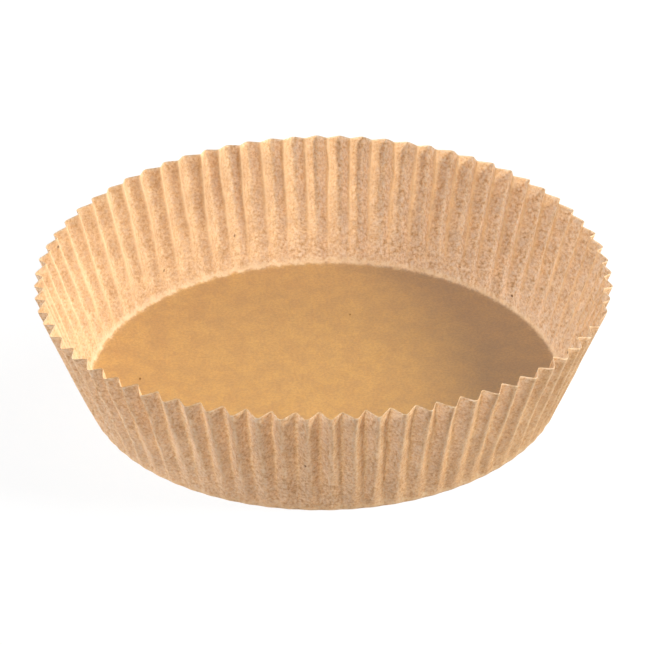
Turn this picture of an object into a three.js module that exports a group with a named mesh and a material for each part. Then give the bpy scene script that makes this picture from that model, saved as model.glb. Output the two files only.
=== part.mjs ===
// Round paper liner for an air fryer basket: one disc of greaseproof paper, pressed so that its
// floor stays flat and its wall stands up in sharp folds. Millimetres and degrees, +Z up, with the
// origin at the middle of the floor's underside and the wall's wide sides along X.

import * as THREE from 'three';

// Sizes of the floor and the wall
const baseRadius = 84; // from the axis to the corner where the floor and the wall would meet
const wallSlant = 48; // along the paper, from that corner to the rim
const wallLean = 19.5; // of the wall from upright, on average
const ovalLean = 2.5; // more lean at the two sides, and less at the front and the back
const cornerRadius = 2.5; // of the bend from the floor into the wall
const paperThickness = 0.06;

// Sizes of the folds
const foldCount = 72;
const foldTurn = 1.2; // angle of the first outer fold from the X axis
const outerCrest = 1.6; // width of a fold's outer crest, along the rim
const innerCrest = 1.0; // width of a fold's inner crest
const crestBulge = 0.25; // height of a crest's middle over its two edges, on folds deep enough

// Facets
const cornerSteps = 2;
const wallSteps = 3;

const degree = Math.PI / 180;
const fullTurn = 2 * Math.PI;

// Lean of the wall from upright, in radians, at an angle round the axis.
function leanAt(angle) {
  return (wallLean + ovalLean * Math.cos(2 * angle)) * degree;
}

// Length of the bend's tangent, from the sharp corner to where the bend begins or ends.
function cornerTangent(lean) {
  const bend = Math.PI / 2 - lean;
  return cornerRadius * Math.tan(bend / 2);
}

// Depth of the folds at a slant distance from the corner. A flat disc has more paper there than a
// leaning wall needs, and the sloping sides of the folds take up the rest of each pitch.
function foldDepth(slant, lean) {
  const wallPitch = fullTurn * (baseRadius + slant * Math.sin(lean)) / foldCount;
  const paperPitch = fullTurn * (baseRadius + slant) / foldCount;
  const crests = outerCrest + innerCrest;
  const sideRun = (wallPitch - crests) / 2;
  const sideLength = (paperPitch - crests) / 2;
  return Math.sqrt(sideLength ** 2 - sideRun ** 2);
}

// Levels of the sheet from the floor's edge to the rim. Each one gives, at a lean, the outer
// crest's radius and height, the direction across the paper to the inside, and the folds' depth.
function cornerLevel(step) {
  return (lean) => {
    const share = step / cornerSteps;
    const bend = (Math.PI / 2 - lean) * share;
    const tangent = cornerTangent(lean);
    return {
      radius: baseRadius - tangent + cornerRadius * Math.sin(bend),
      height: cornerRadius * (1 - Math.cos(bend)),
      inward: -Math.sin(bend),
      upward: Math.cos(bend),
      depth: foldDepth(tangent, lean) * share,
    };
  };
}

function wallLevel(step) {
  return (lean) => {
    const tangent = cornerTangent(lean);
    const slant = tangent + (wallSlant - tangent) * (step / wallSteps) ** 2;
    return {
      radius: baseRadius + slant * Math.sin(lean),
      height: slant * Math.cos(lean),
      inward: -Math.cos(lean),
      upward: Math.sin(lean),
      depth: foldDepth(slant, lean),
    };
  };
}

function sheetLevels() {
  const levels = [];
  for (let step = 0; step <= cornerSteps; step += 1) {
    levels.push(cornerLevel(step));
  }
  for (let step = 1; step <= wallSteps; step += 1) {
    levels.push(wallLevel(step));
  }
  return levels;
}

// One fold's section, from outer crest to outer crest: each point's place along the rim, in
// millimetres from the start of the pitch, and its distance across the paper to the inside.
function foldSection(pitch, depth) {
  const bulge = Math.min(crestBulge, depth / 2);
  return [
    { along: 0, across: 0 },
    { along: outerCrest / 2, across: bulge },
    { along: (pitch - innerCrest) / 2, across: depth - bulge },
    { along: pitch / 2, across: depth },
    { along: (pitch + innerCrest) / 2, across: depth - bulge },
    { along: pitch - outerCrest / 2, across: bulge },
  ];
}

// One closed ring of points round the sheet's outside, at one level.
function ringAt(level) {
  const ring = [];
  const pitchAngle = fullTurn / foldCount;
  for (let fold = 0; fold < foldCount; fold += 1) {
    const start = foldTurn * degree + fold * pitchAngle;
    const { radius, depth } = level(leanAt(start));
    for (const { along, across } of foldSection(pitchAngle * radius, depth)) {
      const angle = start + along / radius;
      const local = level(leanAt(angle));
      const reach = local.radius + across * local.inward;
      const height = local.height + across * local.upward;
      ring.push(new THREE.Vector3(reach * Math.cos(angle), reach * Math.sin(angle), height));
    }
  }
  return ring;
}

// Faces between rings that follow each other, as triples of indices, seen from the outside.
function wallFaces(ringCount, ringSize) {
  const faces = [];
  for (let ring = 0; ring + 1 < ringCount; ring += 1) {
    for (let point = 0; point < ringSize; point += 1) {
      const next = (point + 1) % ringSize;
      const low = ring * ringSize;
      const high = low + ringSize;
      faces.push([low + point, low + next, high + next]);
      faces.push([low + point, high + next, high + point]);
    }
  }
  return faces;
}

// The sheet's outside: the rings' points, the middle of the floor last, and the faces.
function outsideOfSheet() {
  const rings = sheetLevels().map(ringAt);
  const ringSize = rings[0].length;
  const points = [...rings.flat(), new THREE.Vector3(0, 0, 0)];
  const middle = points.length - 1;
  const faces = wallFaces(rings.length, ringSize);
  for (let point = 0; point < ringSize; point += 1) {
    faces.push([(point + 1) % ringSize, point, middle]);
  }
  return { points, faces, ringSize, rimStart: middle - ringSize };
}

function geometryOf(points, faces) {
  const geometry = new THREE.BufferGeometry().setFromPoints(points);
  geometry.setIndex(faces.flat());
  geometry.computeVertexNormals();
  return geometry;
}

// The closed sheet: its outside, the same surface one paper thickness further in with its faces
// turned round, and the cut edge that joins the two along the rim.
function linerGeometry() {
  const { points, faces, ringSize, rimStart } = outsideOfSheet();
  const normals = geometryOf(points, faces).getAttribute('normal');
  const inside = points.map((point, index) => {
    const normal = new THREE.Vector3().fromBufferAttribute(normals, index);
    return point.clone().addScaledVector(normal, -paperThickness);
  });
  const shift = points.length;
  const insideFaces = faces.map(([a, b, c]) => [c + shift, b + shift, a + shift]);
  const edgeFaces = [];
  for (let point = 0; point < ringSize; point += 1) {
    const here = rimStart + point;
    const next = rimStart + (point + 1) % ringSize;
    edgeFaces.push([here, next, next + shift]);
    edgeFaces.push([here, next + shift, here + shift]);
  }
  return geometryOf([...points, ...inside], [...faces, ...insideFaces, ...edgeFaces]);
}

const unbleachedPaper = new THREE.MeshStandardMaterial({
  color: 0xd9a468,
  roughness: 0.85,
  metalness: 0,
  flatShading: true,
});

const liner = new THREE.Mesh(linerGeometry(), unbleachedPaper);
liner.name = 'paper_liner';

const group = new THREE.Group();
group.add(liner);

export default group;
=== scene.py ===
"""Looks of the folded paper liner for an air fryer basket, standing in a plain white studio."""

import logging
import math
from collections.abc import Sequence
from dataclasses import dataclass, field
from enum import Enum

import bpy
import numpy as np
from mathutils import Matrix, Vector


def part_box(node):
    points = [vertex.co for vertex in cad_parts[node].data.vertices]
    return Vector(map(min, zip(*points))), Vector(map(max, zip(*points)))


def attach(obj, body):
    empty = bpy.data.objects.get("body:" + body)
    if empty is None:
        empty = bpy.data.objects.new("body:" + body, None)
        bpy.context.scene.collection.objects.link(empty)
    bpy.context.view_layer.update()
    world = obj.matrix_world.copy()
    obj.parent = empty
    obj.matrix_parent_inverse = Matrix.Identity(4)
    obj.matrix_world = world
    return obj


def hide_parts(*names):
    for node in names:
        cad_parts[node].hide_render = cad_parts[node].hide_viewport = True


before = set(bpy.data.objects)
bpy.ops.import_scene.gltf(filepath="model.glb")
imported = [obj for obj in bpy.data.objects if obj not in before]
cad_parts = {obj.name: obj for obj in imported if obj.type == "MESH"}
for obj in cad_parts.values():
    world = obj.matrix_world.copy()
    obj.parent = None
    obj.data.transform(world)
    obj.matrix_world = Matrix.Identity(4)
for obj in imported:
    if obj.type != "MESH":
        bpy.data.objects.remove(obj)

LOG = logging.getLogger("liner")

MM = 0.001
DEGREE = math.pi / 180
FULL_TURN = 2 * math.pi
LINER_NODE = "paper_liner"
BODY = "root"

# Settings that several nodes share, and the places of a mixing node's colour sockets
SMOOTH_STEP = {"interpolation_type": "SMOOTHSTEP"}
LAY_OVER = {"data_type": "RGBA", "blend_type": "MIX"}
LAY_VEIL = {"data_type": "RGBA", "blend_type": "MULTIPLY"}
UNDER = 6
OVER = 7
BLENDED = 2

# Where each of the paper's ramps begins and ends on the mark or the noise that it reads, and its two
# heights where they aren't 0 and 1. Marks along the sheet are in millimetres.
FLOOR_TO_WALL = {"From Min": -2.6, "From Max": 1.0}
CLUMPED_WALL = {"From Min": -1.5, "From Max": 2.0, "To Min": 0.15}
THICK_CLOUDS = {"From Min": 0.36, "From Max": 0.64, "To Max": 0.38}
PALE_CLUMPS = {"From Min": 0.47, "From Max": 0.62}
DARK_GAPS = {"From Min": 0.50, "From Max": 0.36}
DARK_GRAIN = {"From Min": 0.44, "From Max": 0.57, "To Max": 0.50}
# The crests' pale line is partly painted highlight, where the ridges catch more light.
PALE_CREST_AND_HIGHLIGHT = {"From Min": 0.35, "From Max": 1.0, "To Max": 0.55}
BEND_BEGINS = {"From Min": -1.0, "From Max": 0.0}
BEND_ENDS = {"From Min": 2.4, "From Max": 0.2, "To Max": 0.65}
# The pale band along the cut edge is painted highlight, where the edge catches the light.
PAINTED_EDGE_HIGHLIGHT = {"From Min": 0.5, "From Max": 0.1, "To Max": 0.5}
# The inner crests' warm glow in light through the sheet is painted highlight.
PAINTED_CREST_GLOW = {"From Min": 0.15, "From Max": 1.0, "To Max": 0.75}


def linear_colour(hex_colour: str) -> tuple[float, float, float, float]:
    """Turn an sRGB colour into Blender's linear one.

    Args:
        hex_colour: Six hex digits, such as "D9A468".

    Returns:
        Linear red, green and blue, and an alpha of 1.
    """
    channels = (int(hex_colour[place : place + 2], 16) / 255 for place in (0, 2, 4))
    linear = (c / 12.92 if c <= 0.04045 else ((c + 0.055) / 1.055) ** 2.4 for c in channels)
    red, green, blue = linear
    return red, green, blue, 1.0


def add_node(
    tree: bpy.types.NodeTree,
    kind: str,
    settings: dict[str, object] | None = None,
    inputs: dict[str | int, object] | None = None,
) -> bpy.types.Node:
    """Add a node with its settings and inputs.

    Args:
        tree: The node tree that the node goes into.
        kind: The node's type name.
        settings: Values for the node's own properties.
        inputs: Values or output sockets for its input sockets, by name or place.

    Returns:
        The new node.
    """
    node = tree.nodes.new(kind)
    for name, value in (settings or {}).items():
        setattr(node, name, value)
    for name, value in (inputs or {}).items():
        if isinstance(value, bpy.types.NodeSocket):
            tree.links.new(value, node.inputs[name])
        else:
            node.inputs[name].default_value = value
    return node


class Mark(Enum):
    """What is stored at each point of the sheet for its finish to read.

    WALL is the millimetres past the bend, and BEND is the same but scalloped by the folds. EDGE is
    the millimetres to the cut edge. The two crests are 1 on their lines and 0 away from them.
    """

    WALL = "wall"
    BEND = "bend"
    OUTER_CREST = "outer_crest"
    INNER_CREST = "inner_crest"
    EDGE = "cut_edge"


@dataclass(frozen=True)
class LinerSizes:
    """Sizes of the pressed sheet, in metres and radians.

    The bend is tighter than the solid's and the crests are narrower, because the real creases are
    sharper than its facets. How soft the crests are is stated here alone. Every other size is the
    solid's.
    """

    base_radius: float = 84 * MM
    wall_slant: float = 48 * MM
    wall_lean: float = 19.5 * DEGREE
    oval_lean: float = 2.5 * DEGREE
    corner_radius: float = 1.2 * MM
    thickness: float = 0.06 * MM
    fold_count: int = 72
    fold_turn: float = 1.2 * DEGREE
    outer_crest: float = 1.2 * MM
    inner_crest: float = 0.6 * MM
    crest_softness: float = 0.09


@dataclass(frozen=True)
class Handling:
    """How far the real sheet strays from its die, in metres and radians.

    The wall leans more at the front, at the sides and in three lobes, and the folds' spacing drifts
    round the rim. Each crest strays by a step of its own, its jitter, and by kinks along it, its
    wander. The strays wake over the wall's foot, where the wall also begins to swell in and out.
    The floor's edge is scalloped by the folds, and one fold is squashed nearly flat.
    """

    front_lean: float = 1.2 * DEGREE
    side_lean: float = 0.4 * DEGREE
    three_lobed_lean: float = 1.0 * DEGREE
    drift_lobes: tuple[int, ...] = (3, 5, 1)
    drift_shares: tuple[float, ...] = (0.45 * DEGREE, 0.2 * DEGREE, 0.25 * DEGREE)
    drift_peaks: tuple[float, ...] = (59 * DEGREE, 27 * DEGREE, -107 * DEGREE)
    crest_jitter: float = 0.16 * MM
    crest_wander: float = 0.30 * MM
    wander_step: float = 9 * MM
    depth_jitter: float = 0.16 * MM
    depth_wander: float = 0.14 * MM
    waking: float = 6 * MM
    swell_lobes: tuple[int, ...] = (4, 5, 7, 9)
    swell_shares: tuple[float, ...] = (0.07 * MM, 0.056 * MM, 0.042 * MM, 0.042 * MM)
    swell_peaks: tuple[float, ...] = (0.4, 2.1, 4.0, 1.2)
    scallop: float = 0.9 * MM
    squashed_angle: float = -16 * DEGREE
    squashed_width: float = 4.0 * DEGREE
    squashed_share: float = 0.92
    seed: int = 72


def soft_ramp(along: np.ndarray, softness: float) -> np.ndarray:
    """Ramp from 0 to 1 with rounded ends.

    Half of one plus the difference of two soft distances, to the ramp's start and to its end. A
    soft distance is the root of the distance squared plus the softness squared.

    Args:
        along: Place along the ramp, which starts at 0 and ends at 1.
        softness: How far the rounding reaches, as a share of the ramp.

    Returns:
        The ramp's height at each place.
    """
    to_start = np.sqrt(along**2 + softness**2)
    to_end = np.sqrt((along - 1) ** 2 + softness**2)
    return 0.5 + 0.5 * (to_start - to_end)


def rounded_wave(
    angle: np.ndarray, lobes: Sequence[int], shares: Sequence[float], peaks: Sequence[float]
) -> np.ndarray:
    """Sum of cosines round the axis, each with its number of lobes, share and peak.

    Args:
        angle: Angles round the axis.
        lobes: Each cosine's whole number of waves in a turn.
        shares: Each cosine's height.
        peaks: Angle at which each cosine is at its top.

    Returns:
        The sum at each angle.
    """
    waves = [share * np.cos(n * (angle - peak)) for n, share, peak in zip(lobes, shares, peaks)]
    return np.sum(waves, axis=0)


@dataclass
class FoldedLiner:
    """The one sheet of paper: flat floor, rounded bend and a leaning wall pressed into folds.

    Columns crowd towards the crests, and rows towards the wall's foot and its rim. A fold as deep as
    the creased depth counts as fully creased, and a shallower one less.
    """

    sizes: LinerSizes = field(default_factory=LinerSizes)
    handling: Handling = field(default_factory=Handling)
    columns_per_fold: int = 14
    floor_rows: int = 6
    bend_rows: int = 6
    wall_rows: int = 32
    crowding: float = 0.045
    row_crowding: float = 0.07
    creased_depth: float = 2 * MM

    def lean(self, angle: np.ndarray) -> np.ndarray:
        """Wall's lean from upright: the mean, plus an oval, a front-to-back and a three-lobed part.

        Args:
            angle: Angles round the axis.

        Returns:
            The lean at each angle, in radians.
        """
        oval = self.sizes.oval_lean + self.handling.side_lean
        lobed = rounded_wave(
            angle,
            lobes=(2, 1, 3),
            shares=(oval, self.handling.front_lean, self.handling.three_lobed_lean),
            peaks=(0, -math.pi / 2, -math.pi / 6),
        )
        return self.sizes.wall_lean + lobed

    def column_shares(self) -> np.ndarray:
        """Place the columns in one fold, crowded towards its two crests.

        Returns:
            Each column's share of the fold, from 0 to 1.
        """
        even = np.arange(self.columns_per_fold) / self.columns_per_fold
        return even - self.crowding * np.sin(2 * FULL_TURN * even)

    def level_distances(self, tangent: np.ndarray) -> tuple[np.ndarray, np.ndarray]:
        """Share of the bend passed, and slant distance from the corner, at each row and column.

        Args:
            tangent: Distance from the sharp corner to where the bend ends, at each column.

        Returns:
            The bend's share, from 0 to 1, and the slant distance, which stays at the bend's end
            until the wall begins and then runs to the rim.
        """
        bend = np.concatenate([np.linspace(0, 1, self.bend_rows + 1), np.ones(self.wall_rows)])
        wall = np.arange(1, self.wall_rows + 1) / self.wall_rows
        wall = wall - self.row_crowding * np.sin(FULL_TURN * wall)
        rise = np.concatenate([np.zeros(self.bend_rows + 1), wall])
        slant = tangent + (self.sizes.wall_slant - tangent) * rise[:, None]
        return np.broadcast_to(bend[:, None], slant.shape), slant

    def fold_depth(self, slant: np.ndarray, lean: np.ndarray) -> np.ndarray:
        """Depth of the folds at a slant distance from the corner.

        A flat disc has more paper there than the leaning wall needs. Each pitch loses its two
        crests, and what is left is the slope of a right-angled triangle on the paper and its foot
        on the wall, so the depth is the root of the difference of their squares.

        Args:
            slant: Distance along the paper from the corner.
            lean: Wall's lean at the same points.

        Returns:
            The depth across the paper, in metres.
        """
        crests = self.sizes.outer_crest + self.sizes.inner_crest
        pitch_angle = FULL_TURN / self.sizes.fold_count
        wall_pitch = pitch_angle * (self.sizes.base_radius + slant * np.sin(lean))
        paper_pitch = pitch_angle * (self.sizes.base_radius + slant)
        return np.sqrt(((paper_pitch - crests) / 2) ** 2 - ((wall_pitch - crests) / 2) ** 2)

    def crest_noise(self, rows: np.ndarray, jitter: float, wander: float, seed: int) -> np.ndarray:
        """How far each crest line strays at each row: a step of its own, and kinks along it.

        Args:
            rows: Mean slant distance of each row, in metres.
            jitter: Spread of the crests' own steps.
            wander: Spread of the kinks, which lie a wander step apart and are joined straight.
            seed: Start of the random draws.

        Returns:
            The stray at each row and crest line, with the first crest repeated at the end.
        """
        draws = np.random.default_rng(seed)
        lines = 2 * self.sizes.fold_count
        knots = math.ceil(self.sizes.wall_slant / self.handling.wander_step) + 2
        kinks = draws.normal(0, wander, (knots, lines))
        steps = draws.normal(0, jitter, lines)
        place = rows / self.handling.wander_step
        low = place.astype(int)
        part = (place - low)[:, None]
        stray = steps + kinks[low] * (1 - part) + kinks[low + 1] * part
        return np.concatenate([stray, stray[:, :1]], axis=1)

    def between_crests(self, stray: np.ndarray) -> np.ndarray:
        """Spread the crests' strays over the columns, straight from one crest to the next.

        Args:
            stray: Stray at each row and crest line, as crest_noise gives it.

        Returns:
            The stray at each row and column.
        """
        shares = np.tile(self.column_shares(), self.sizes.fold_count)
        folds = np.repeat(np.arange(self.sizes.fold_count), self.columns_per_fold)
        place = 2 * (folds + shares)
        low = place.astype(int)
        part = place - low
        return stray[:, low] * (1 - part) + stray[:, low + 1] * part

    def surface(self) -> tuple[np.ndarray, dict[Mark, np.ndarray]]:
        """Points of the sheet's outside, from the floor's edge to the rim.

        In the bend, a circle of the corner's radius turns the floor up into the wall. On the wall,
        a point lies at the slant distance along the leaning line, and is moved across the paper
        by the fold's depth times a soft ramp from the outer crest to the inner one. In the bend
        the depth grows from nothing with the share of the bend passed.

        Returns:
            The points, as rows by columns by three, and the marks at the same points.
        """
        sizes, handling = self.sizes, self.handling
        shares = np.tile(self.column_shares(), sizes.fold_count)
        folds = np.repeat(np.arange(sizes.fold_count), self.columns_per_fold)
        pitch_angle = FULL_TURN / sizes.fold_count
        angle = sizes.fold_turn + (folds + shares) * pitch_angle
        drift = rounded_wave(angle, handling.drift_lobes, handling.drift_shares, handling.drift_peaks)
        angle = angle + drift
        lean = self.lean(angle)
        tangent = sizes.corner_radius * np.tan((math.pi / 2 - lean) / 2)
        bend, slant = self.level_distances(tangent)
        turn = (math.pi / 2 - lean) * bend
        on_wall = np.arange(bend.shape[0])[:, None] > self.bend_rows

        radius = np.where(
            on_wall,
            sizes.base_radius + slant * np.sin(lean),
            sizes.base_radius - tangent + sizes.corner_radius * np.sin(turn),
        )
        height = np.where(on_wall, slant * np.cos(lean), sizes.corner_radius * (1 - np.cos(turn)))

        pitch = pitch_angle * radius
        along = np.minimum(shares, 1 - shares) * pitch
        side = (pitch - sizes.outer_crest - sizes.inner_crest) / 2
        wave = soft_ramp((along - sizes.outer_crest / 2) / side, sizes.crest_softness)

        rows = np.maximum(slant.mean(axis=1) - tangent.mean(), 0)
        height_share = (rows / sizes.wall_slant)[:, None]
        awake = np.clip(rows / handling.waking, 0, 1)[:, None]
        pushes = self.crest_noise(rows, handling.depth_jitter, handling.depth_wander, handling.seed)
        strays = self.crest_noise(rows, handling.crest_jitter, handling.crest_wander, handling.seed + 1)
        push, stray = self.between_crests(pushes), self.between_crests(strays)
        swell = rounded_wave(angle, handling.swell_lobes, handling.swell_shares, handling.swell_peaks)

        away = (angle - handling.squashed_angle + math.pi) % FULL_TURN - math.pi
        pressed = handling.squashed_share * np.exp(-((away / handling.squashed_width) ** 2))
        depth = self.fold_depth(slant, lean) * bend * (1 - pressed * height_share)
        across = depth * wave + awake * (push + swell * height_share)

        angle = angle + awake * stray / radius
        radial = radius - across * np.sin(turn)
        upright = np.maximum(height + across * np.cos(turn), 0)
        points = np.stack([radial * np.cos(angle), radial * np.sin(angle), upright], axis=-1)

        to_rim = (sizes.wall_slant - slant) / MM
        before_wall = -sizes.corner_radius / MM * (math.pi / 2 - lean) * (1 - bend)
        from_bend = np.where(on_wall, (slant - tangent) / MM, before_wall)
        creased = np.clip(depth / self.creased_depth, 0, 1)
        marks = {
            Mark.WALL: from_bend,
            Mark.BEND: from_bend + handling.scallop / MM * (0.5 - wave),
            Mark.OUTER_CREST: np.clip(1 - 2 * wave, 0, 1) ** 2 * creased,
            Mark.INNER_CREST: np.clip(wave, 0, 1) ** 3 * creased,
            Mark.EDGE: np.where(on_wall, to_rim, sizes.wall_slant / MM),
        }
        return points, marks

    def whole_sheet(self) -> tuple[np.ndarray, dict[Mark, np.ndarray]]:
        """Points and marks of the sheet's outside with the floor's rings before the bend.

        A floor ring is the floor edge's ring drawn in towards the axis, flat at the bottom.

        Returns:
            The points and the marks, as surface gives them, from the innermost ring to the rim.
        """
        points, marks = self.surface()
        shares = np.linspace(0, 1, self.floor_rows + 1)[1:-1]
        floor = points[0] * shares[:, None, None]
        points = np.concatenate([floor, points])
        inwards = (shares - 1)[:, None] * self.sizes.base_radius / MM
        whole = {}
        for mark, values in marks.items():
            edge = np.broadcast_to(values[:1], (len(shares), values.shape[1]))
            floor_values = edge + inwards if mark in (Mark.WALL, Mark.BEND) else edge
            whole[mark] = np.concatenate([floor_values, values])
        return points, whole

    @staticmethod
    def normals(points: np.ndarray) -> np.ndarray:
        """Outward normals: the slope round the axis crossed with the slope towards the rim.

        Args:
            points: Points of the outside, as rows by columns by three.

        Returns:
            Unit normals at the same points.
        """
        round_axis = np.roll(points, -1, axis=1) - np.roll(points, 1, axis=1)
        to_rim = np.gradient(points, axis=0)
        normal = np.cross(round_axis, to_rim)
        return normal / np.linalg.norm(normal, axis=-1, keepdims=True)

    @staticmethod
    def grid_faces(rows: int, columns: int, shift: int) -> np.ndarray:
        """Four-sided faces between rows of points that close round the axis, seen from outside.

        Args:
            rows: Number of rows.
            columns: Number of columns.
            shift: Number of the first point.

        Returns:
            The faces, one to a line.
        """
        number = shift + np.arange(rows * columns).reshape(rows, columns)
        after = np.roll(number, -1, axis=1)
        corners = (number[:-1], after[:-1], after[1:], number[1:])
        return np.stack([corner.ravel() for corner in corners], axis=1)

    def build(self) -> bpy.types.Object:
        """Make the closed sheet: its outside, its inside one thickness in, and its cut edge.

        A crest's mark lies only on the face where the crest stands proud, so that its pale line, partly
        painted highlight, and the inner crests' painted glow lie on the ridge and not in the valley behind
        it.

        Returns:
            The liner, with its marks stored as attributes and smooth shading.
        """
        outside, marks = self.whole_sheet()
        rows, columns, _ = outside.shape
        inside = outside - self.normals(outside) * self.sizes.thickness
        count = rows * columns
        middles = np.array([[0, 0, 0], [0, 0, self.sizes.thickness]])
        points = np.concatenate([outside.reshape(-1, 3), inside.reshape(-1, 3), middles])

        outer_faces = self.grid_faces(rows, columns, 0)
        inner_faces = self.grid_faces(rows, columns, count)[:, ::-1]
        rim = (rows - 1) * columns + np.arange(columns)
        next_rim = np.roll(rim, -1)
        edge_faces = np.stack([rim, next_rim, next_rim + count, rim + count], axis=1)
        first = np.arange(columns)
        following = np.roll(first, -1)
        middle = np.full(columns, 2 * count)
        outer_fan = np.stack([following, first, middle], axis=1)
        inner_fan = np.stack([first + count, following + count, middle + 1], axis=1)
        quads = np.concatenate([outer_faces, inner_faces, edge_faces])
        fans = np.concatenate([outer_fan, inner_fan])

        mesh = bpy.data.meshes.new("folded_paper_sheet")
        mesh.from_pydata(points.tolist(), [], quads.tolist() + fans.tolist())
        for mark, values in marks.items():
            central = values[0].mean()
            on_outside = 0 * values if mark is Mark.INNER_CREST else values
            on_inside = 0 * values if mark is Mark.OUTER_CREST else values
            stored = np.concatenate([on_outside.ravel(), on_inside.ravel(), [central, central]])
            attribute = mesh.attributes.new(mark.value, "FLOAT", "POINT")
            attribute.data.foreach_set("value", stored.astype(np.float32))
        mesh.polygons.foreach_set("use_smooth", np.ones(len(mesh.polygons), dtype=bool))
        mesh.update()
        liner = bpy.data.objects.new("folded_paper_sheet", mesh)
        bpy.context.scene.collection.objects.link(liner)
        return liner


@dataclass(frozen=True)
class GreaseproofPaper:
    """Unbleached greaseproof paper, beaten fine and pressed dry in a heated die.

    The press leaves a closed, matt, warm tan face with a fine tooth. Light through the sheet shows its
    clumps of fibre, and hard creases break the fibres, which then look pale; on the crests that pale line is
    also painted highlight, where the ridges catch more light. The pale band along the cut edge and the warm
    glow of the inner crests are painted highlight. Light through the sheet passes both faces of the closed
    mesh, so its colours are written paler than the sheet looks.
    """

    floor_hex: str = "D6A340"
    wall_hex: str = "F8D3A0"
    fleck_hex: str = "FFF9F0"
    # Pale colour of the creases, also used for painted highlight on the crests and along the cut edge.
    crease_and_highlight_hex: str = "FCE6C2"
    through_hex: str = "FBEFDD"
    gap_hex: str = "CFB288"
    # Colour of the painted highlight on the inner crests, in light through the sheet.
    crest_highlight_hex: str = "FFE8C4"
    shade_hex: str = "C39E6A"
    veil_hex: str = "CDB28C"
    speck_hex: str = "7A4820"
    cloud_mm: float = 7.0
    clump_mm: float = 1.0
    fibre_mm: float = 0.9
    cockle_mm: float = 4.0
    fray_mm: float = 1.5
    fray_reach_mm: float = 5.0
    speck_gap_mm: float = 11.0
    speck_size_mm: float = 0.3
    speck_blur: float = 1.6
    speck_strength: float = 0.6
    through_gap_share: float = 0.62
    face_gap_share: float = 0.10
    face_fleck_share: float = 0.16
    roughness: float = 0.72
    specular_level: float = 0.35
    glow_share: float = 0.47

    @staticmethod
    def noise_scale(feature_mm: float) -> float:
        """Turn a feature's size into a noise scale, on coordinates in metres.

        Args:
            feature_mm: About how far across one blotch of the noise is, in millimetres.

        Returns:
            The scale.
        """
        return 1 / (feature_mm * MM)

    def material(self) -> bpy.types.Material:
        """Build the paper's nodes: tone, clouds, clumps, grain, creases with painted highlight on the crests
        and the cut edge, the inner crests' painted glow, specks and tooth.

        Returns:
            The finished material.
        """
        paper = bpy.data.materials.new("unbleached_greaseproof_paper")
        paper.use_nodes = True
        tree = paper.node_tree
        tree.nodes.clear()
        place = add_node(tree, "ShaderNodeTexCoord").outputs["Object"]
        marks = {
            mark: add_node(tree, "ShaderNodeAttribute", {"attribute_name": mark.value}).outputs["Fac"]
            for mark in Mark
        }
        marks[Mark.BEND] = self.frayed(tree, marks[Mark.BEND], place)
        # A real fibre is about 0.03 mm wide, far too fine for the picture, so it is drawn as coarse
        # as it needs to show.
        fibre = add_node(
            tree,
            "ShaderNodeTexNoise",
            inputs={
                "Vector": place,
                "Scale": self.noise_scale(self.fibre_mm),
                "Detail": 2.0,
                "Roughness": 0.6,
                "Distortion": 0.6,
            },
        ).outputs["Fac"]
        colour = self.clouds(tree, self.tone(tree, marks), place)
        colour, shining = self.fibre_clumps(tree, colour, place, marks)
        colour = self.grain(tree, colour, fibre)
        colour = self.specks(tree, self.creases(tree, colour, marks), place)
        # The inner crests' glow is painted highlight.
        shining = self.specks(tree, self.painted_glowing_crests(tree, shining, marks), place)
        tooth = self.tooth(tree, place, fibre)
        sheet = add_node(
            tree,
            "ShaderNodeBsdfPrincipled",
            inputs={
                "Base Color": colour,
                "Roughness": self.roughness,
                "Specular IOR Level": self.specular_level,
                "Normal": tooth,
            },
        )
        through = add_node(tree, "ShaderNodeBsdfTranslucent", inputs={"Color": shining, "Normal": tooth})
        mixed = add_node(
            tree,
            "ShaderNodeMixShader",
            inputs={0: self.glow_share, 1: sheet.outputs["BSDF"], 2: through.outputs["BSDF"]},
        )
        add_node(tree, "ShaderNodeOutputMaterial", inputs={"Surface": mixed.outputs["Shader"]})
        return paper

    def frayed(
        self, tree: bpy.types.NodeTree, bend: bpy.types.NodeSocket, place: bpy.types.NodeSocket
    ) -> bpy.types.NodeSocket:
        """Bend's mark pushed to and fro by noise, because the floor's edge was creased unevenly.

        Args:
            tree: The material's node tree.
            bend: The bend's mark, in millimetres past the bend.
            place: Object coordinates.

        Returns:
            The mark plus the noise about its middle, times the reach.
        """
        fray = add_node(
            tree,
            "ShaderNodeTexNoise",
            inputs={
                "Vector": place,
                "Scale": self.noise_scale(self.fray_mm),
                "Detail": 3.0,
                "Roughness": 0.65,
            },
        )
        push = add_node(
            tree,
            "ShaderNodeMath",
            {"operation": "MULTIPLY_ADD"},
            {0: fray.outputs["Fac"], 1: self.fray_reach_mm, 2: -self.fray_reach_mm / 2},
        )
        pushed = add_node(tree, "ShaderNodeMath", {"operation": "ADD"}, {0: bend, 1: push.outputs[0]})
        return pushed.outputs[0]

    def tone(
        self, tree: bpy.types.NodeTree, marks: dict[Mark, bpy.types.NodeSocket]
    ) -> bpy.types.NodeSocket:
        """Deeper tan on the floor and paler on the wall, blended across the bend.

        Args:
            tree: The material's node tree.
            marks: The sheet's marks.

        Returns:
            The tone's socket.
        """
        share = add_node(
            tree, "ShaderNodeMapRange", SMOOTH_STEP, {"Value": marks[Mark.BEND], **FLOOR_TO_WALL}
        )
        return add_node(
            tree,
            "ShaderNodeMix",
            LAY_OVER,
            {
                0: share.outputs[0],
                UNDER: linear_colour(self.floor_hex),
                OVER: linear_colour(self.wall_hex),
            },
        ).outputs[BLENDED]

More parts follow.
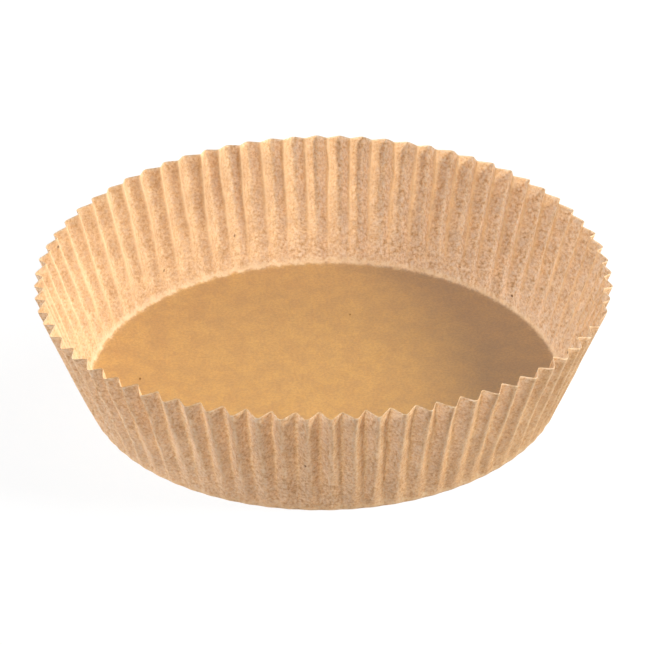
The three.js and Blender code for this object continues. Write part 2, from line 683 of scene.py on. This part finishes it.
    def clouds(
        self, tree: bpy.types.NodeTree, colour: bpy.types.NodeSocket, place: bpy.types.NodeSocket
    ) -> bpy.types.NodeSocket:
        """Soft clouds where the pulp settled thicker.

        Args:
            tree: The material's node tree.
            colour: Colour so far.
            place: Object coordinates.

        Returns:
            The colour with its clouds.
        """
        cloud = add_node(
            tree,
            "ShaderNodeTexNoise",
            inputs={
                "Vector": place,
                "Scale": self.noise_scale(self.cloud_mm),
                "Detail": 3.0,
                "Roughness": 0.55,
            },
        )
        share = add_node(
            tree, "ShaderNodeMapRange", SMOOTH_STEP, {"Value": cloud.outputs["Fac"], **THICK_CLOUDS}
        )
        return add_node(
            tree,
            "ShaderNodeMix",
            LAY_VEIL,
            {0: share.outputs[0], UNDER: colour, OVER: linear_colour(self.veil_hex)},
        ).outputs[BLENDED]

    def fibre_clumps(
        self,
        tree: bpy.types.NodeTree,
        colour: bpy.types.NodeSocket,
        place: bpy.types.NodeSocket,
        marks: dict[Mark, bpy.types.NodeSocket],
    ) -> tuple[bpy.types.NodeSocket, bpy.types.NodeSocket]:
        """Clumps of fibre, faint on the face and plain in light through the sheet.

        The wall's clumps were pulled apart as the folds were pressed, so they show more there than
        on the floor.

        Args:
            tree: The material's node tree.
            colour: Colour so far.
            place: Object coordinates.
            marks: The sheet's marks.

        Returns:
            The face's colour, and the colour of light through the sheet.
        """
        # Real clumps are about 0.3 mm across, less than a pixel of the picture, so these are coarser.
        clump = add_node(
            tree,
            "ShaderNodeTexNoise",
            inputs={
                "Vector": place,
                "Scale": self.noise_scale(self.clump_mm),
                "Detail": 4.0,
                "Roughness": 0.75,
            },
        ).outputs["Fac"]
        pale, dark, on_wall = (
            add_node(tree, "ShaderNodeMapRange", SMOOTH_STEP, {"Value": value, **ramp}).outputs[0]
            for value, ramp in ((clump, PALE_CLUMPS), (clump, DARK_GAPS), (marks[Mark.WALL], CLUMPED_WALL))
        )
        flecks, gaps = (
            add_node(tree, "ShaderNodeMath", {"operation": "MULTIPLY"}, {0: clumps, 1: on_wall}).outputs[0]
            for clumps in (pale, dark)
        )
        through_gaps, face_gaps, face_flecks = (
            add_node(tree, "ShaderNodeMath", {"operation": "MULTIPLY"}, {0: clumps, 1: share}).outputs[0]
            for clumps, share in (
                (gaps, self.through_gap_share),
                (gaps, self.face_gap_share),
                (flecks, self.face_fleck_share),
            )
        )
        through = linear_colour(self.through_hex)
        for share, hex_colour in ((through_gaps, self.gap_hex), (flecks, self.fleck_hex)):
            through = add_node(
                tree,
                "ShaderNodeMix",
                LAY_OVER,
                {0: share, UNDER: through, OVER: linear_colour(hex_colour)},
            ).outputs[BLENDED]
        for share, hex_colour in ((face_gaps, self.shade_hex), (face_flecks, self.fleck_hex)):
            colour = add_node(
                tree,
                "ShaderNodeMix",
                LAY_OVER,
                {0: share, UNDER: colour, OVER: linear_colour(hex_colour)},
            ).outputs[BLENDED]
        return colour, through

    def grain(
        self, tree: bpy.types.NodeTree, colour: bpy.types.NodeSocket, fibre: bpy.types.NodeSocket
    ) -> bpy.types.NodeSocket:
        """Fine grain of single fibres on the face.

        Args:
            tree: The material's node tree.
            colour: Colour so far.
            fibre: The fine fibre noise.

        Returns:
            The colour with its grain.
        """
        share = add_node(tree, "ShaderNodeMapRange", SMOOTH_STEP, {"Value": fibre, **DARK_GRAIN})
        return add_node(
            tree,
            "ShaderNodeMix",
            LAY_VEIL,
            {0: share.outputs[0], UNDER: colour, OVER: linear_colour(self.veil_hex)},
        ).outputs[BLENDED]

    def creases(
        self, tree: bpy.types.NodeTree, colour: bpy.types.NodeSocket, marks: dict[Mark, bpy.types.NodeSocket]
    ) -> bpy.types.NodeSocket:
        """Paler lines: the crests, pale where they were creased hard and partly painted highlight where the
        ridges catch more light, the creased bend, and a painted highlight along the cut edge.

        Args:
            tree: The material's node tree.
            colour: Colour so far.
            marks: The sheet's marks.

        Returns:
            The colour with its pale lines.
        """
        outer, inner, rise, fall, edge = (
            add_node(tree, "ShaderNodeMapRange", SMOOTH_STEP, {"Value": marks[mark], **ramp}).outputs[0]
            for mark, ramp in (
                (Mark.OUTER_CREST, PALE_CREST_AND_HIGHLIGHT),
                (Mark.INNER_CREST, PALE_CREST_AND_HIGHLIGHT),
                (Mark.BEND, BEND_BEGINS),
                (Mark.BEND, BEND_ENDS),
                (Mark.EDGE, PAINTED_EDGE_HIGHLIGHT),
            )
        )
        bend = add_node(tree, "ShaderNodeMath", {"operation": "MULTIPLY"}, {0: rise, 1: fall}).outputs[0]
        # The crest lines are partly painted highlight, and the band along the cut edge is painted highlight.
        for share in (outer, inner, bend, edge):
            colour = add_node(
                tree,
                "ShaderNodeMix",
                LAY_OVER,
                {0: share, UNDER: colour, OVER: linear_colour(self.crease_and_highlight_hex)},
            ).outputs[BLENDED]
        return colour

    def painted_glowing_crests(
        self, tree: bpy.types.NodeTree, colour: bpy.types.NodeSocket, marks: dict[Mark, bpy.types.NodeSocket]
    ) -> bpy.types.NodeSocket:
        """Painted highlight: warm, paler lines in light through the inner crests, so that they show as lit
        lines.

        Args:
            tree: The material's node tree.
            colour: Colour of light through the sheet so far.
            marks: The sheet's marks.

        Returns:
            The colour with its glowing lines.
        """
        share = add_node(
            tree, "ShaderNodeMapRange", SMOOTH_STEP, {"Value": marks[Mark.INNER_CREST], **PAINTED_CREST_GLOW}
        )
        return add_node(
            tree,
            "ShaderNodeMix",
            LAY_OVER,
            {0: share.outputs[0], UNDER: colour, OVER: linear_colour(self.crest_highlight_hex)},
        ).outputs[BLENDED]

    def specks(
        self, tree: bpy.types.NodeTree, colour: bpy.types.NodeSocket, place: bpy.types.NodeSocket
    ) -> bpy.types.NodeSocket:
        """Few small brown specks of bark, drawn out a little.

        Args:
            tree: The material's node tree.
            colour: Colour so far.
            place: Object coordinates.

        Returns:
            The colour with its specks.
        """
        drawn = add_node(
            tree,
            "ShaderNodeMapping",
            inputs={"Vector": place, "Rotation": (0.3, 0.2, 0.5), "Scale": (1.0, 0.5, 0.8)},
        )
        cells = add_node(
            tree,
            "ShaderNodeTexVoronoi",
            {"feature": "F1"},
            {"Vector": drawn.outputs["Vector"], "Scale": self.noise_scale(self.speck_gap_mm)},
        )
        size = self.speck_size_mm / self.speck_gap_mm
        near = add_node(
            tree,
            "ShaderNodeMapRange",
            SMOOTH_STEP,
            {
                "Value": cells.outputs["Distance"],
                "From Min": size * self.speck_blur,
                "From Max": size,
                "To Max": self.speck_strength,
            },
        )
        return add_node(
            tree,
            "ShaderNodeMix",
            LAY_OVER,
            {0: near.outputs[0], UNDER: colour, OVER: linear_colour(self.speck_hex)},
        ).outputs[BLENDED]

    def tooth(
        self, tree: bpy.types.NodeTree, place: bpy.types.NodeSocket, fibre: bpy.types.NodeSocket
    ) -> bpy.types.NodeSocket:
        """Fine tooth of the fibres and slight cockling of the dry sheet.

        Args:
            tree: The material's node tree.
            place: Object coordinates.
            fibre: The fine fibre noise.

        Returns:
            The bumped normal's socket.
        """
        cockle = add_node(
            tree,
            "ShaderNodeTexNoise",
            inputs={"Vector": place, "Scale": self.noise_scale(self.cockle_mm), "Detail": 2.0},
        )
        slow = add_node(
            tree,
            "ShaderNodeBump",
            inputs={"Strength": 0.35, "Distance": 0.25 * MM, "Height": cockle.outputs["Fac"]},
        )
        fine = add_node(
            tree,
            "ShaderNodeBump",
            inputs={
                "Strength": 0.5,
                "Distance": 0.05 * MM,
                "Height": fibre,
                "Normal": slow.outputs["Normal"],
            },
        )
        return fine.outputs["Normal"]


@dataclass(frozen=True)
class Softbox:
    """One square studio light, aimed at the liner's middle."""

    name: str
    azimuth: float
    elevation: float
    distance: float
    size: float
    power: float

    def build(self, aim: Vector) -> None:
        """Hang the light and turn it to its aim.

        Args:
            aim: The point that it faces.
        """
        lamp = bpy.data.lights.new(self.name, "AREA")
        lamp.shape = "SQUARE"
        lamp.size = self.size
        lamp.energy = self.power
        light = bpy.data.objects.new(self.name, lamp)
        flat = math.cos(self.elevation)
        sideways, backwards = flat * math.cos(self.azimuth), flat * math.sin(self.azimuth)
        way = Vector((sideways, backwards, math.sin(self.elevation)))
        light.location = aim + way * self.distance
        light.rotation_euler = way.to_track_quat("Z", "Y").to_euler()
        bpy.context.scene.collection.objects.link(light)


@dataclass(frozen=True)
class Studio:
    """Plain floor that runs out of view, soft boxes and an even sky.

    The board is grey to the light and white to the camera, so that it throws little light up on the
    wall's outside.
    """

    floor_half: float = 4.0
    floor_drop: float = 0.2 * MM
    floor_hex: str = "5C5C5C"
    floor_lift: float = 0.95
    sky_strength: float = 0.09
    softboxes: tuple[Softbox, ...] = (
        Softbox(
            "key_softbox",
            azimuth=-16 * DEGREE,
            elevation=33 * DEGREE,
            distance=1.2,
            size=0.34,
            power=17.0,
        ),
        Softbox(
            "back_right_softbox",
            azimuth=47 * DEGREE,
            elevation=26 * DEGREE,
            distance=1.2,
            size=0.6,
            power=15.0,
        ),
    )

    def seen_by_camera(self, tree: bpy.types.NodeTree) -> bpy.types.NodeSocket:
        """1 where a ray comes from the camera, a mirror or glass, and 0 elsewhere.

        Args:
            tree: A material's or the world's node tree.

        Returns:
            The socket that tells.
        """
        path = add_node(tree, "ShaderNodeLightPath")
        shine = add_node(
            tree,
            "ShaderNodeMath",
            {"operation": "MAXIMUM"},
            {0: path.outputs["Is Glossy Ray"], 1: path.outputs["Is Transmission Ray"]},
        )
        return add_node(
            tree,
            "ShaderNodeMath",
            {"operation": "MAXIMUM"},
            {0: path.outputs["Is Camera Ray"], 1: shine.outputs[0]},
        ).outputs[0]

    def floor_material(self) -> bpy.types.Material:
        """Matt board, lifted to white where the camera sees it, so that only shadow shows.

        Returns:
            The floor's material.
        """
        board = bpy.data.materials.new("matt_board")
        board.use_nodes = True
        tree = board.node_tree
        tree.nodes.clear()
        matt = add_node(tree, "ShaderNodeBsdfDiffuse", inputs={"Color": linear_colour(self.floor_hex)})
        seen = self.seen_by_camera(tree)
        lift = add_node(tree, "ShaderNodeMath", {"operation": "MULTIPLY"}, {0: seen, 1: self.floor_lift})
        glow = add_node(
            tree, "ShaderNodeEmission", inputs={"Color": (1.0, 1.0, 1.0, 1.0), "Strength": lift.outputs[0]}
        )
        both = add_node(
            tree, "ShaderNodeAddShader", inputs={0: matt.outputs["BSDF"], 1: glow.outputs["Emission"]}
        )
        add_node(tree, "ShaderNodeOutputMaterial", inputs={"Surface": both.outputs["Shader"]})
        return board

    def build_floor(self) -> bpy.types.Object:
        """Lay the floor just under the liner.

        Returns:
            The floor's object.
        """
        half, drop = self.floor_half, -self.floor_drop
        corners = [(-half, -half, drop), (half, -half, drop), (half, half, drop), (-half, half, drop)]
        mesh = bpy.data.meshes.new("studio_floor")
        mesh.from_pydata(corners, [], [(0, 1, 2, 3)])
        mesh.materials.append(self.floor_material())
        floor = bpy.data.objects.new("studio_floor", mesh)
        bpy.context.scene.collection.objects.link(floor)
        return floor

    def build_sky(self) -> None:
        """Light the scene evenly from all round, and show plain white to the camera."""
        world = bpy.data.worlds.new("even_sky")
        world.use_nodes = True
        tree = world.node_tree
        tree.nodes.clear()
        seen = self.seen_by_camera(tree)
        strength = add_node(
            tree, "ShaderNodeMapRange", inputs={"Value": seen, "To Min": self.sky_strength, "To Max": 1.0}
        )
        sky = add_node(
            tree,
            "ShaderNodeBackground",
            inputs={"Color": (1.0, 1.0, 1.0, 1.0), "Strength": strength.outputs["Result"]},
        )
        add_node(tree, "ShaderNodeOutputWorld", inputs={"Surface": sky.outputs["Background"]})
        bpy.context.scene.world = world

    def build(self, aim: Vector) -> bpy.types.Object:
        """Set up the floor, the sky and the lights.

        Args:
            aim: The point that the lights face.

        Returns:
            The floor's object.
        """
        self.build_sky()
        for softbox in self.softboxes:
            softbox.build(aim)
        return self.build_floor()


@dataclass(frozen=True)
class StudioCamera:
    """Long lens at the photograph's angle. The picture is square, 645 pixels on a side."""

    picture_px: float = 645.0
    base_px: tuple[float, float] = (324.1, 384.6)
    scale_px_per_mm: float = 2.806
    distance: float = 3.218
    elevation: float = 31.28 * DEGREE
    roll: float = 0.66 * DEGREE
    sensor_mm: float = 36.0
    clip_distances: float = 4.0

    def build(self) -> None:
        """Place the camera so that the base's middle falls on base_px, and make it the scene's.

        The lens is the scale times the distance, in pixels, brought to the sensor's width. The
        camera is moved across its view, and not turned, to bring the base's middle to its pixel.
        """
        data = bpy.data.cameras.new("studio_camera")
        data.sensor_width = self.sensor_mm
        data.lens = self.scale_px_per_mm * self.distance / MM / self.picture_px * self.sensor_mm
        data.clip_end = self.clip_distances * self.distance
        towards = Vector((0, -math.cos(self.elevation), math.sin(self.elevation)))
        upright = Vector((0, math.sin(self.elevation), math.cos(self.elevation)))
        sideways = Vector((1, 0, 0))
        right = sideways * math.cos(self.roll) - upright * math.sin(self.roll)
        up = upright * math.cos(self.roll) + sideways * math.sin(self.roll)
        px_right = (self.base_px[0] - self.picture_px / 2) / self.scale_px_per_mm * MM
        px_down = (self.base_px[1] - self.picture_px / 2) / self.scale_px_per_mm * MM
        place = towards * self.distance - right * px_right + up * px_down
        camera = bpy.data.objects.new("studio_camera", data)
        turn = Matrix((right, up, towards)).transposed()
        camera.matrix_world = Matrix.Translation(place) @ turn.to_4x4()
        bpy.context.scene.collection.objects.link(camera)
        bpy.context.scene.camera = camera


def main() -> None:
    """Build the liner around its solid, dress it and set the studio."""
    logging.basicConfig(level=logging.INFO, format="%(message)s")
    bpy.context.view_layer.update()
    bpy.context.scene.view_settings.view_transform = "Standard"

    low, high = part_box(LINER_NODE)
    StudioCamera().build()
    Studio().build((low + high) / 2)

    sheet = FoldedLiner().build()
    sheet.data.materials.append(GreaseproofPaper().material())
    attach(sheet, BODY)
    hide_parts(LINER_NODE)
    LOG.info("%s: %d points, %d faces", sheet.name, len(sheet.data.vertices), len(sheet.data.polygons))


if __name__ == "__main__":
    main()
